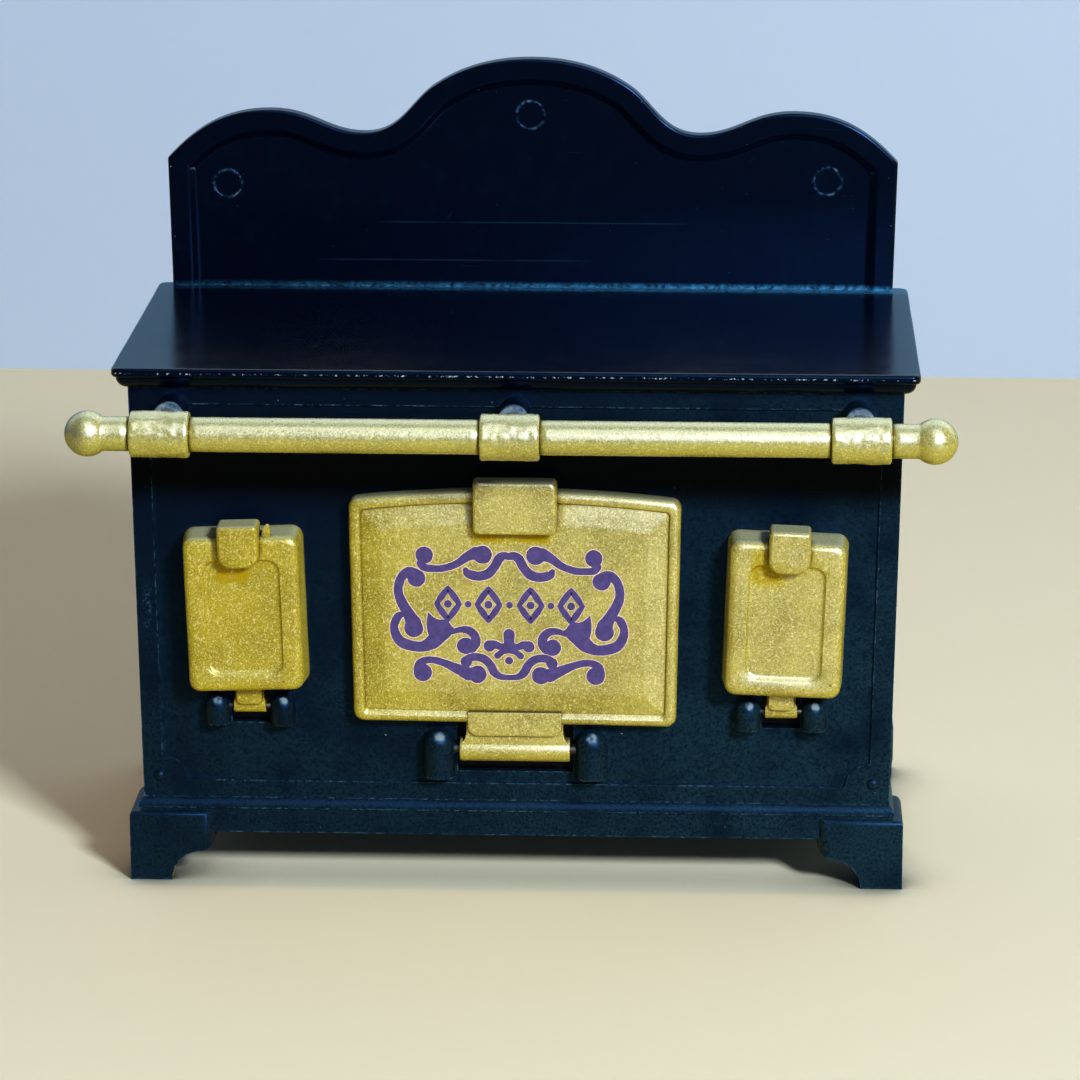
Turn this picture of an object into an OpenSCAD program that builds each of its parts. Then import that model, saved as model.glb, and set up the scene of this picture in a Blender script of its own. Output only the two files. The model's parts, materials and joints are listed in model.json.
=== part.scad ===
// Toy oven: a doll's house kitchen range with a crested backsplash, a guard rail
// and three doors that drop down on hinges between moulded posts.
// The front faces -Y, the floor is z = 0 and the origin lies under the middle of
// the whole object's box. All sizes are in millimetres.

/* [Body] */
// Width of the body just under the shelf
body_top_w = 75.1; // [72:0.1:84]
// Width of the body at its foot, a little less because the moulding has draft
body_foot_w = 73.6; // [72:0.1:75]
// Depth of the body, front to back
body_d = 38.2; // [34:0.2:46]
// Height of the joint between the plinth and the body
body_foot_z = 8.4; // [8.2:0.1:8.6]
// Height of the top edge of the body, under the shelf moulding
body_top_z = 50; // [49:0.1:51]
// Thickness of the moulded walls
wall = 1.6; // [1.2:0.1:2]
// Depth of the recessed field in the front
field_depth = 0.35; // [0.2:0.05:0.6]
// Width of the raised frame left round that field
frame_w = 2; // [1.6:0.05:3.2]

/* [Shelf] */
// How far the shelf stands out past the body at the front and sides
shelf_out = 1.5; // [1.2:0.05:2]
// How far the shelf stands out past the body at the back
shelf_back = 1.4; // [1:0.1:2]
// Height of the flat edge of the shelf
shelf_lip = 1; // [0.8:0.1:1.6]
// Radius of the quarter-round moulding under that edge
ovolo_r = 1.1; // [0.8:0.1:1.2]

/* [Backsplash] */
// Height of the crest above the shelf top
crest_h = 24; // [20:0.5:30]
// Thickness of the raised rim of the backsplash
splash_t = 1.8; // [1.4:0.1:2.4]
// Width of the rim seen from the front
rim_w = 2.3; // [1.6:0.1:3]
// Depth of the panel inside the rim
rim_step = 0.5; // [0.3:0.1:0.8]

/* [Guard rail] */
// Distance from the body front to the rail axis
rail_out = 10.65; // [9:0.05:13]
// Height of the rail axis
rail_z = 47.87; // [47.5:0.01:48]
// Diameter of the rail
rail_d = 3.3; // [2.6:0.1:3.6]
// Diameter of the three collars
collar_d = 4.4; // [4:0.1:5]
// Width of each collar
collar_w = 5.65; // [4:0.05:7]
// Distance from the middle collar to each end collar
collar_x = 33.2; // [32:0.1:34]
// Distance from the middle of the rail to the centre of each end ball
ball_x = 40.1; // [39.5:0.1:43]
// Diameter of the end balls
ball_d = 4.4; // [4:0.1:5]

/* [Oven door] */
// Width of the oven door at its top
oven_top_w = 32.3; // [30:0.1:33]
// Width of the oven door at its foot
oven_foot_w = 31.6; // [30:0.1:33]
// Height of the lower edge of the oven door
oven_low_z = 16.95; // [16.8:0.05:17.2]
// Height of the upper corners of the oven door
oven_high_z = 39.3; // [38.8:0.1:39.6]
// Rise of the arched upper edge in its middle
oven_arch = 0.85; // [0.4:0.05:1]
// How far the oven door stands out from the body front
oven_front = 1.75; // [1.6:0.05:2]
// Width of the plain rim round the raised field of the oven door
oven_rim = 1.1; // [0.9:0.1:1.4]

/* [Side doors] */
// Distance from the middle to the centre line of a side door's hinge
side_x = 26.05; // [25.9:0.05:26.2]
// How far the side door's centre line lies outside its hinge
side_shift = -0.05; // [-0.2:0.05:0.3]
// Outward lean of each side door, which follows the draft of the body
side_lean = 1.9; // [0:0.1:2]
// Width of a side door at its front, where its draft makes it narrowest
side_w = 11.25; // [11:0.05:11.8]
// Height of the lower edge of a side door
side_low_z = 20.55; // [20.3:0.05:20.8]
// Height of the upper edge of a side door
side_high_z = 36.15; // [36:0.05:37]
// How far a side door stands out from the body front
side_front = 3.6; // [3:0.1:3.8]

/* [Hinges] */
// Running clearance between a hinge pin and its barrel, on the radius
pin_play = 0.05; // [0.02:0.01:0.1]
// Gap between a closed door and the recessed field behind it
door_gap = 0.1; // [0.05:0.05:0.2]

/* [Hidden] */
$fn = 48;
black = "#14161f";
dark = "#1b1d26";
gold = "#b3a03f";
steel = "#b9bcc0";
eps = 0.01;

// The front of the rail and the back of the shelf bound the object along y
front_y = (rail_out + collar_d / 2 - body_d - shelf_back) / 2;
back_y = body_d + shelf_back;
shelf_z = body_top_z + ovolo_r + shelf_lip;
shelf_half = body_top_w / 2 + shelf_out;

// Plinth and feet
plinth_low_z = 4.9;
plinth_out = 0.3;
bead_h = 1;
bead_out = 0.5;
bead_r = 0.9;
plinth_floor = 1.3;
foot_out = 0.9;
foot_w = 8.4;
foot_h = 7.05;
foot_t = 2.2;
foot_pad = 4.1;
foot_top_r = 0.5;
foot_end_r = 1.2;
cusp_r = 3;
knee_r = 1.5;
knee_z = 4.5;

// Screws that hold the plinth to the body
screw_x = 30;
screw_ys = [6, body_d - 6];
screw_d = 1.6;
screw_head_d = 3.2;
screw_head_h = 1;
screw_len = 6;
tower_d = 4.6;
tower_top_z = 15;

// Recessed field of the front, its cut corners and their dome rivets
field_low_z = 10.2;
field_high_z = 48.3;
notch_r = 2.4;
rivet_d = 1.3;
rivet_z = 10.6;
rivet_in = 1.65;

// Round bosses that take the rail's stems
boss_d = 3;
boss_out = 4.3;
stem_d = 2;
socket_depth = 4;

// Hinge of the oven door: pin height, pin distance in front of the body, sizes of posts and barrel
oven_pin_z = 13.9;
oven_pin_out = 0.5;
oven_post_r = 1.6;
oven_post_x = 7.5;
oven_post_low = 11.1;
oven_dome_z = 14.4;
oven_barrel_r = 1.2;
oven_barrel_w = 10.8;
oven_pin_d = 1;

// Hinge of a side door
side_pin_z = 18.1;
side_pin_out = 0.55;
side_post_r = 1.25;
side_post_x = 3.22;
side_post_low = 16.3;
side_barrel_r = 0.65;
side_barrel_w = 3.15;
side_pin_d = 0.6;

// Openings in the front wall, and the liners behind them
oven_hole = [28.6, 20.6];
oven_hole_z = 18;
oven_slot = [11.4, 11.35];
side_hole = [9.4, 13.6];
side_hole_z = 21.4;
side_slot = [3.8, 16.1];
liner_t = 0.8;
oven_liner_back = 31;
side_liner_back = 24;

// Half width of the body at height z
function half_w(z) = (body_foot_w + (body_top_w - body_foot_w)
    * (z - body_foot_z) / (body_top_z - body_foot_z)) / 2;

// Points of one cubic curve through a, b, c, d without its first point
function curve(a, b, c, d, steps = 8) = [for (i = [1 : steps]) let (t = i / steps, s = 1 - t)
    s * s * s * a + 3 * s * s * t * b + 3 * s * t * t * c + t * t * t * d];

// Turns a 2D shape in x and z into a slab from y0 to y1 behind the body front
module slab(y0, y1) {
    translate([0, front_y + y1, 0]) rotate([90, 0, 0]) linear_extrude(y1 - y0) children();
}

// Turns a 2D shape in y and z into a bar from x0 to x1
module bar(x0, x1) {
    translate([x0, front_y, 0]) rotate([90, 0, 90]) linear_extrude(x1 - x0) children();
}

// A cylinder along x, centred at x, at a distance out in front of the body
module x_rod(x, out, z, r, len) {
    translate([x - len / 2, front_y - out, z]) rotate([0, 90, 0]) cylinder(r = r, h = len);
}

// Front outline of the body, drawn in by inset, from z0 to z1
module body_face(inset, z0, z1) {
    polygon([[-half_w(z0) + inset, z0], [half_w(z0) - inset, z0],
             [half_w(z1) - inset, z1], [-half_w(z1) + inset, z1]]);
}

// The recessed field of the front, with quarter circles cut from its corners
module field_face() {
    difference() {
        body_face(frame_w, field_low_z, field_high_z);
        for (s = [-1, 1], z = [field_low_z, field_high_z])
            translate([s * (half_w(z) - frame_w), z]) circle(notch_r);
    }
}

// A hinge post: a round column with a dome whose centre is at dome_z
module post(x, out, low_z, dome_z, r) {
    translate([x, front_y - out, low_z]) cylinder(r = r, h = dome_z - low_z);
    translate([x, front_y - out, dome_z]) sphere(r);
}

module all_posts() {
    for (s = [-1, 1]) {
        post(s * oven_post_x, oven_pin_out, oven_post_low, oven_dome_z, oven_post_r);
        for (t = [-1, 1])
            post(s * side_x + t * side_post_x, side_pin_out, side_post_low, side_pin_z, side_post_r);
    }
}

// One hinge pin of diameter d, as long as the two posts and the gap between them
module pin(x, out, z, d, post_x, post_r) {
    x_rod(x, out, z, d / 2, 2 * (post_x + post_r * 0.8));
}

module all_pins() {
    pin(0, oven_pin_out, oven_pin_z, oven_pin_d, oven_post_x, oven_post_r);
    for (s = [-1, 1]) pin(s * side_x, side_pin_out, side_pin_z, side_pin_d, side_post_x, side_post_r);
}

// A hole in the front wall with a narrower slot for the hinge below it
module door_hole(x, size, z, slot) {
    translate([x - size[0] / 2, z]) square(size);
    translate([x - slot[0] / 2, slot[1]]) square([slot[0], z - slot[1] + eps]);
}

module body_shell() {
    color(black) difference() {
        union() {
            difference() {
                slab(0, body_d) body_face(0, body_foot_z, body_top_z);
                slab(wall + field_depth, body_d - wall)
                    body_face(wall, body_foot_z - 1, body_top_z + 1);
                slab(-1, field_depth) field_face();
            }
            for (s = [-1, 1]) translate([s * (half_w(rivet_z) - rivet_in), front_y + 0.2, rivet_z])
                sphere(d = rivet_d);
            for (x = [-collar_x, 0, collar_x]) translate([x, front_y - boss_out, rail_z])
                rotate([-90, 0, 0]) cylinder(d = boss_d, h = boss_out + wall);
            all_posts();
            for (s = [-1, 1], y = screw_ys) translate([s * screw_x, front_y + y, body_foot_z])
                cylinder(d = tower_d, h = tower_top_z - body_foot_z);
            for (s = [-1, 1], y = screw_ys) tower_web(s, y);
        }
        slab(-2, wall + 1) door_hole(0, oven_hole, oven_hole_z, oven_slot);
        for (s = [-1, 1])
            slab(-2, wall + 1) door_hole(s * side_x, side_hole, side_hole_z, side_slot);
        all_pins();
        for (x = [-collar_x, 0, collar_x]) translate([x, front_y - boss_out - eps, rail_z])
            rotate([-90, 0, 0]) cylinder(d = stem_d, h = socket_depth + eps);
        for (s = [-1, 1], y = screw_ys) translate([s * screw_x, front_y + y, body_foot_z - eps])
            cylinder(d = screw_d, h = screw_len);
    }
}

// A rib that ties a screw tower to the side wall
module tower_web(s, y) {
    reach = half_w(body_foot_z) - wall - screw_x + 0.4;
    translate([s > 0 ? screw_x + 1.2 : -screw_x - 1.2 - reach, front_y + y - 0.6, body_foot_z])
        cube([reach, 1.2, tower_top_z - body_foot_z - 1]);
}

// Cross-section of the shelf edge from the body face outwards, laid along one edge
module shelf_section(depth) {
    r = 0.3;
    lip_z = body_top_z + ovolo_r;
    translate([-shelf_out, lip_z + r]) square([depth + shelf_out, shelf_lip - 2 * r]);
    translate([-shelf_out + r, lip_z]) square([depth + shelf_out, shelf_lip]);
    for (z = [lip_z + r, shelf_z - r]) translate([-shelf_out + r, z]) circle(r);
    translate([0, body_top_z]) square([depth, ovolo_r + eps]);
    intersection() {
        translate([0, lip_z]) circle(ovolo_r);
        translate([-ovolo_r, body_top_z]) square([ovolo_r * 2, ovolo_r]);
    }
}

module top_shelf() {
    rib_in = wall + 0.1;
    color(black) difference() {
        union() {
            intersection() {
                bar(-shelf_half, shelf_half) shelf_section(body_d / 2);
                shelf_sides();
            }
            intersection() {
                bar(-shelf_half, shelf_half) translate([body_d, 0]) mirror([1, 0])
                    shelf_section(body_d / 2 + eps);
                shelf_sides();
                slab(0, back_y) translate([-shelf_half, 0]) square([2 * shelf_half, shelf_z]);
            }
            slab(wall + field_depth + 0.1, body_d - rib_in)
                body_face(rib_in, body_top_z - 1.2, body_top_z + eps);
        }
        slab(wall + field_depth + 1.2, body_d - rib_in - 1.1)
            body_face(rib_in + 1.1, body_top_z - 2, body_top_z);
        splash_tabs(0.05);
    }
}

// The shelf as its side edges see it, with rounded corners in plan
module shelf_sides() {
    corner_r = 0.9;
    intersection() {
        for (s = [0, 1]) mirror([s, 0, 0]) translate([-body_top_w / 2, front_y - shelf_out, 0])
            rotate([90, 0, 180]) mirror([1, 0, 0])
            linear_extrude(back_y + shelf_out) shelf_section(body_top_w / 2 + eps);
        translate([0, front_y - shelf_out, body_top_z]) linear_extrude(shelf_z - body_top_z)
            hull() for (s = [-1, 1], y = [corner_r, back_y + shelf_out - corner_r])
                translate([s * (shelf_half - corner_r), y]) circle(corner_r);
    }
}

// Right half of the backsplash outline, from the middle of the crest to the shelf
function crest_points() = let (z0 = shelf_z, h = crest_h) concat(
    curve([0, z0 + h], [4.4, z0 + h], [7.6, z0 + h - 1.15], [10.2, z0 + h - 2.95]),
    curve([10.2, z0 + h - 2.95], [12.6, z0 + h - 4.65], [13.6, z0 + h - 7.8], [17.3, z0 + h - 7.8]),
    curve([17.3, z0 + h - 7.8], [21.2, z0 + h - 7.8], [22.6, z0 + h - 5.47], [27, z0 + h - 5.47]),
    curve([27, z0 + h - 5.47], [32, z0 + h - 5.47], [34.9, z0 + h - 7.55], [37.75, z0 + h - 10.6]),
    [[37.45, z0]]);

module crest_face() {
    right = crest_points();
    polygon(concat([[0, shelf_z + crest_h]], right,
        [for (i = [len(right) - 1 : -1 : 0]) [-right[i][0], right[i][1]]]));
}

module splash_tabs(play) {
    tab_w = 8;
    tab_h = shelf_z - body_top_z - 0.2;
    tab_t = splash_t - rim_step - 0.5;
    for (x = [-24, 0, 24])
        translate([x - tab_w / 2 - play, front_y + back_y - tab_t - 0.2 - play, shelf_z - tab_h - play])
            cube([tab_w + 2 * play, tab_t + 2 * play, tab_h + 2 * play]);
}

module backsplash() {
    color(black) union() {
        difference() {
            slab(back_y - splash_t, back_y) crest_face();
            slab(back_y - splash_t - 1, back_y - splash_t + rim_step) union() {
                offset(delta = -rim_w) crest_face();
                translate([-37.45 + rim_w, shelf_z - 1]) square([2 * (37.45 - rim_w), rim_w + 4]);
            }
        }
        splash_tabs(0);
    }
}

// Cross-section of the plinth: a rounded bead on top and a plain skirt below it
module plinth_section(depth) {
    low = body_foot_z - bead_h;
    arc_z = low + 0.2;
    translate([-plinth_out, plinth_low_z]) square([depth + plinth_out, low - plinth_low_z + eps]);
    translate([-bead_out, low]) square([depth + bead_out, arc_z - low]);
    intersection() {
        union() {
            translate([-bead_out + bead_r, arc_z]) circle(bead_r);
            translate([-bead_out + bead_r, low]) square([depth + bead_out - bead_r, 3 * bead_r]);
        }
        translate([-bead_out, low]) square([depth + bead_out, body_foot_z - low]);
    }
}

// Outline of a bracket foot seen square on, from its outer corner inwards
module foot_face() {
    difference() {
        union() {
            square([foot_w - knee_r, foot_h]);
            translate([0, knee_z]) square([foot_w, foot_h - knee_z]);
            translate([foot_w - knee_r, knee_z]) circle(knee_r);
        }
        translate([foot_pad + cusp_r, 0]) circle(cusp_r);
    }
}

// One bracket plate along x, its outer face at y = 0, with its inner end rounded off in plan
module foot_plate() {
    intersection() {
        translate([0, foot_t, 0]) rotate([90, 0, 0]) linear_extrude(foot_t) foot_face();
        linear_extrude(foot_h) {
            square([foot_w - foot_end_r, foot_t]);
            translate([0, foot_end_r]) square([foot_w, foot_t - foot_end_r]);
            translate([foot_w - foot_end_r, foot_end_r]) circle(foot_end_r);
        }
    }
}

// Section that rounds a foot's top edge
module foot_top() {
    square([foot_w, foot_h - foot_top_r]);
    translate([foot_top_r, 0]) square([foot_w - foot_top_r, foot_h]);
    translate([foot_top_r, foot_h - foot_top_r]) circle(foot_top_r);
}

// One corner foot: two bracket plates that meet at the outer corner
module corner_foot() {
    intersection() {
        union() {
            foot_plate();
            mirror([1, -1, 0]) foot_plate();
        }
        rotate([90, 0, 90]) linear_extrude(foot_w) foot_top();
        translate([0, foot_w, 0]) rotate([90, 0, 0]) linear_extrude(foot_w) foot_top();
    }
}

module base_plinth() {
    half = half_w(body_foot_z);
    inner = half - wall;
    foot_half = half + foot_out + 0.5;
    color(black) difference() {
        union() {
            intersection() {
                union() {
                    bar(-half - bead_out, half + bead_out) plinth_section(body_d / 2);
                    bar(-half - bead_out, half + bead_out) translate([body_d, 0]) mirror([1, 0])
                        plinth_section(body_d / 2 + eps);
                }
                for (s = [0, 1]) mirror([s, 0, 0]) translate([-half, front_y - bead_out, 0])
                    rotate([90, 0, 180]) mirror([1, 0, 0])
                    linear_extrude(body_d + 2 * bead_out) plinth_section(half + eps);
            }
            for (sx = [0, 1], sy = [0, 1]) mirror([sx, 0, 0]) translate([0, front_y + body_d / 2, 0])
                mirror([0, sy, 0]) translate([-foot_half, -body_d / 2 - foot_out, 0]) corner_foot();
        }
        translate([-inner + 1, front_y + wall + 1, -eps])
            cube([2 * inner - 2, body_d - 2 * wall - 2, body_foot_z - plinth_floor + eps]);
        for (s = [-1, 1], y = screw_ys) translate([s * screw_x, front_y + y, 0])
            cylinder(d = screw_d, h = body_foot_z + 1);
    }
}

module base_screws() {
    seat_z = body_foot_z - plinth_floor;
    color(steel) for (s = [-1, 1], y = screw_ys)
        translate([s * screw_x, front_y + y, seat_z]) difference() {
            union() {
                translate([0, 0, -screw_head_h]) cylinder(d = screw_head_d, h = screw_head_h);
                cylinder(d = screw_d, h = screw_len - 0.5);
            }
            for (a = [0, 90]) rotate([0, 0, a]) translate([-1, -0.2, -screw_head_h - eps])
                cube([2, 0.4, 0.5]);
        }
}

// A box open to the front, with a flange glued behind the front wall
module liner(x, size, z, slot_w, slot_z, back) {
    flange = 1.5;
    y0 = wall + field_depth;
    color(dark) difference() {
        union() {
            slab(y0, back) translate([x - size[0] / 2 - liner_t, z - liner_t])
                square([size[0] + 2 * liner_t, size[1] + 2 * liner_t]);
            slab(y0, y0 + liner_t) union() {
                translate([x - size[0] / 2 - flange, z - flange])
                    square([size[0] + 2 * flange, size[1] + 2 * flange]);
                translate([x - slot_w / 2 - flange, slot_z - flange])
                    square([slot_w + 2 * flange, z - slot_z]);
            }
        }
        slab(y0 - 1, back - liner_t) translate([x - size[0] / 2, z]) square(size);
    }
}

module oven_liner() { liner(0, oven_hole, oven_hole_z, oven_slot[0], oven_slot[1], oven_liner_back); }
module left_liner() { liner(-side_x, side_hole, side_hole_z, side_slot[0], side_slot[1], side_liner_back); }
module right_liner() { liner(side_x, side_hole, side_hole_z, side_slot[0], side_slot[1], side_liner_back); }

module guard_rail() {
    color(gold) union() {
        x_rod(0, rail_out, rail_z, rail_d / 2, 2 * ball_x);
        for (x = [-collar_x, 0, collar_x]) {
            x_rod(x, rail_out, rail_z, collar_d / 2, collar_w);
            translate([x, front_y - rail_out, rail_z]) rotate([-90, 0, 0])
                cylinder(d = stem_d, h = rail_out - boss_out + socket_depth - 0.1);
        }
        for (s = [-1, 1]) translate([s * ball_x, front_y - rail_out, rail_z]) sphere(d = ball_d);
    }
}

module oven_hinge_pin() {
    color(steel) pin(0, oven_pin_out, oven_pin_z, oven_pin_d, oven_post_x, oven_post_r);
}
module left_hinge_pin() {
    color(steel) pin(-side_x, side_pin_out, side_pin_z, side_pin_d, side_post_x, side_post_r);
}
module right_hinge_pin() {
    color(steel) pin(side_x, side_pin_out, side_pin_z, side_pin_d, side_post_x, side_post_r);
}

// Points of an arc about (x, z), from angle a0 to a1
function arc(x, z, r, a0, a1, steps = 6) = [for (i = [0 : steps])
    let (a = a0 + (a1 - a0) * i / steps) [x + r * cos(a), z + r * sin(a)]];

// Outline of the oven door drawn in by inset, with its arched upper edge
module oven_face(inset, r) {
    foot = oven_foot_w / 2 - inset - r;
    top = oven_top_w / 2 - inset - r;
    z0 = oven_low_z + inset + r;
    z1 = oven_high_z - inset - r;
    polygon(concat(arc(-foot, z0, r, 180, 270), arc(foot, z0, r, 270, 360), arc(top, z1, r, 0, 80),
        [for (i = [5 : -1 : -5]) [top * i / 6, z1 + r + oven_arch * (1 - i * i / 36)]],
        arc(-top, z1, r, 100, 180)));
}

// A block with rounded front edges, w wide from z0 to z1, from y0 forward to y1
module pull(x, w, z0, z1, y0, y1, r) {
    hull() for (i = [0 : 4]) let (a = i * 22.5, in = r * (1 - cos(a)), out = r * (1 - sin(a)))
        slab(y1 + out, y0) translate([x - w / 2 + in, z0 + in]) square([w - 2 * in, z1 - z0 - 2 * in]);
}

module oven_door() {
    back = field_depth - door_gap;
    edge = 0.55;
    step = 0.3;
    bevel = 2.05;
    lip_w = 9.2;
    web_w = 10;
    color(gold) difference() {
        union() {
            difference() {
                hull() for (i = [0 : 3]) let (a = i * 30, in = edge * (1 - cos(a)))
                    slab(-oven_front + edge * (1 - sin(a)), back) oven_face(in, 1 - in);
                slab(-oven_front - 1, -oven_front + step) oven_face(oven_rim, 0.4);
            }
            hull() {
                slab(-oven_front + step, 0) oven_face(oven_rim, 0.4);
                slab(-oven_front - 0.05, 0) oven_face(oven_rim + bevel, 0.3);
            }
            pull(0, 8.2, 36.35, 41.45, -oven_front + 0.5, -oven_front - 1.4, 0.3);
            slab(-oven_pin_out - 0.95, -oven_pin_out + 0.25)
                translate([-web_w / 2, oven_pin_z]) square([web_w, oven_low_z - oven_pin_z + 1]);
            slab(-oven_pin_out - 1.15, -oven_pin_out) lip_face(0, lip_w, 15.6, oven_low_z + 1, 0.9);
            x_rod(0, oven_pin_out, oven_pin_z, oven_barrel_r, oven_barrel_w);
        }
        x_rod(0, oven_pin_out, oven_pin_z, oven_pin_d / 2 + pin_play, oven_barrel_w + 2);
        slab(-0.65, 1) oven_face(1.5, 0.6);
    }
}

// A tongue whose two lower corners are rounded
module lip_face(x, w, z0, z1, r) {
    translate([x - w / 2, z0 + r]) square([w, z1 - z0 - r]);
    translate([x - w / 2 + r, z0]) square([w - 2 * r, z1 - z0]);
    for (s = [-1, 1]) translate([x + s * (w / 2 - r), z0 + r]) circle(r);
}

// A rectangle w wide from z0 to z1 about x, with rounded corners
module round_rect(x, w, z0, z1, r) {
    lip_face(x, w, z0, (z0 + z1) / 2 + eps, r);
    translate([0, z0 + z1]) mirror([0, 1]) lip_face(x, w, z0, (z0 + z1) / 2, r);
}

// Outline of a side door drawn in by inset
module side_face(inset, r) {
    round_rect(side_x + side_shift, side_w - 2 * inset, side_low_z + inset, side_high_z - inset, r);
}

// Leans what it is given outwards about the right-hand hinge
module leaned() {
    translate([side_x, 0, side_pin_z]) rotate([0, side_lean, 0]) translate([-side_x, 0, -side_pin_z])
        children();
}

// The right-hand door: a plate with a sunk panel, a pull at the top and a hinge barrel below
module side_door() {
    back = field_depth - door_gap;
    edge = 0.7;
    draft = 0.25;
    sunk = 0.3;
    color(gold) difference() {
        union() {
            leaned() difference() {
                hull() {
                    slab(back - 0.2, back) side_face(-draft, 1.1);
                    for (i = [0 : 3]) let (a = i * 30, in = edge * (1 - cos(a)))
                        slab(-side_front + edge * (1 - sin(a)), 0) side_face(in, 1 - in * 0.6);
                }
                slab(-side_front - 1, -side_front + sunk) side_panel_face();
            }
            leaned() side_pull();
            slab(-1.3, -0.2) translate([side_x - 1.4, side_pin_z]) square([2.8, 3.2]);
            slab(-1.65, -1.2) lip_face(side_x, 2.5, 18.5, side_low_z + 0.6, 0.6);
            x_rod(side_x, side_pin_out, side_pin_z, side_barrel_r, side_barrel_w);
        }
        x_rod(side_x, side_pin_out, side_pin_z, side_pin_d / 2 + pin_play, side_barrel_w + 2);
        leaned() slab(-2.2, 1) side_face(1.2, 0.6);
    }
}

// Sunk panel in the front of a side door
module side_panel_face() {
    round_rect(side_x + side_shift, 7.45, 22.2, 33.6, 1.2);
}

// The pull of a side door, with a round lower end
module side_pull() {
    w = 3.95;
    r = 0.35;
    hull() for (i = [0 : 2]) let (a = i * 45, in = r * (1 - cos(a)))
        slab(-side_front - 1.3 + r * (1 - sin(a)), -side_front + 1.6)
            lip_face(side_x + side_shift + 0.1, w - 2 * in, 33.1 + in, 37.3 - in, 1.3);
}

module right_door() { side_door(); }
module left_door() { mirror([1, 0, 0]) side_door(); }

body_shell();
top_shelf();
backsplash();
base_plinth();
base_screws();
oven_liner();
left_liner();
right_liner();
guard_rail();
oven_hinge_pin();
left_hinge_pin();
right_hinge_pin();
oven_door();
left_door();
right_door();
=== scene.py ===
"""Toy oven: a moulded doll's house range, dressed for rendering round its CAD frame."""
import json
import math

import bmesh
import bpy
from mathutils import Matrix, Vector, noise
from mathutils.geometry import tessellate_polygon


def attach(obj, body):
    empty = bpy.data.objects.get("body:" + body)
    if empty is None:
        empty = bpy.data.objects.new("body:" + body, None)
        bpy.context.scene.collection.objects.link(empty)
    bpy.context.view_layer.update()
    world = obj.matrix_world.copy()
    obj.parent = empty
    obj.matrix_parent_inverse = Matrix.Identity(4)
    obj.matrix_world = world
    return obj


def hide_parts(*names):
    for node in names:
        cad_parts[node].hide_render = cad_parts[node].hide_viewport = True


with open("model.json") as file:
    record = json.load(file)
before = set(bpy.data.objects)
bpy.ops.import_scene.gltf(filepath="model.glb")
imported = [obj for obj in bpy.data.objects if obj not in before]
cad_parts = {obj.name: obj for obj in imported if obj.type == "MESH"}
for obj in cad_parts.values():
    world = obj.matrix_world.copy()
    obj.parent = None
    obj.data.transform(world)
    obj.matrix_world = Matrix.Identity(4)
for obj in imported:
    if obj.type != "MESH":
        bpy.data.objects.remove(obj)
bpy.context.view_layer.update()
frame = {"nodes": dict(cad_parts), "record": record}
NODES = frame["nodes"]
BODY_OF = {n: b for b, ns in frame["record"]["behaviour"]["bodies"].items() for n in ns}

# Lengths of the pieces are in mm, with y measured from the body's front face
MM = 0.001
FRONT = -13.375  # the body's front face in the frame
BODY_BACK = 38.2
SHELF_HALF = 39.05
SHELF_FRONT = -1.5
SHELF_BACK = BODY_BACK + 1.4
SHELF_UNDER = 50.0
SHELF_Z = 52.1
CREST_Z = SHELF_Z + 24
RAIL_OUT = 10.65
RAIL_Z = 47.87
RAIL_FRONT = -12.845  # how far out the rail's lumps may reach
COLLARS = (-33.2, 0, 33.2)
OVEN_PIN = (-0.5, 13.9)  # y, z
SIDE_PIN = (-0.55, 18.1)
BEVEL_ANGLE = math.radians(35)
BEVEL_SEGMENTS = 2
NORMAL_WEIGHT = 60
MERGE = 1e-7  # metres
CAD_MERGE = 4e-6
CAD_FLAT = math.radians(0.8)

# noise_vector takes its offsets from this seed, and without it differs from run to run
noise.seed_set(1)


def w(x, y, z):
    """Millimetres, with y measured from the body's front face, to the frame's metres."""
    return Vector((x * MM, (y + FRONT) * MM, z * MM))


def add_piece(name, me, material, body, node=None, bevel=None):
    """Make the mesh a piece that rides on a body, and stands for a node where one is named."""
    me.materials.append(material)
    o = bpy.data.objects.new(name, me)
    bpy.context.collection.objects.link(o)
    if bevel:
        edges = o.modifiers.new("edges", "BEVEL")
        edges.limit_method = "ANGLE"
        edges.angle_limit = BEVEL_ANGLE
        edges.width = bevel * MM
        edges.segments = BEVEL_SEGMENTS
        edges.use_clamp_overlap = True
    normals = o.modifiers.new("normals", "WEIGHTED_NORMAL")
    normals.keep_sharp = True
    normals.weight = NORMAL_WEIGHT
    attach(o, body)
    if node:
        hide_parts(node)


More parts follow.
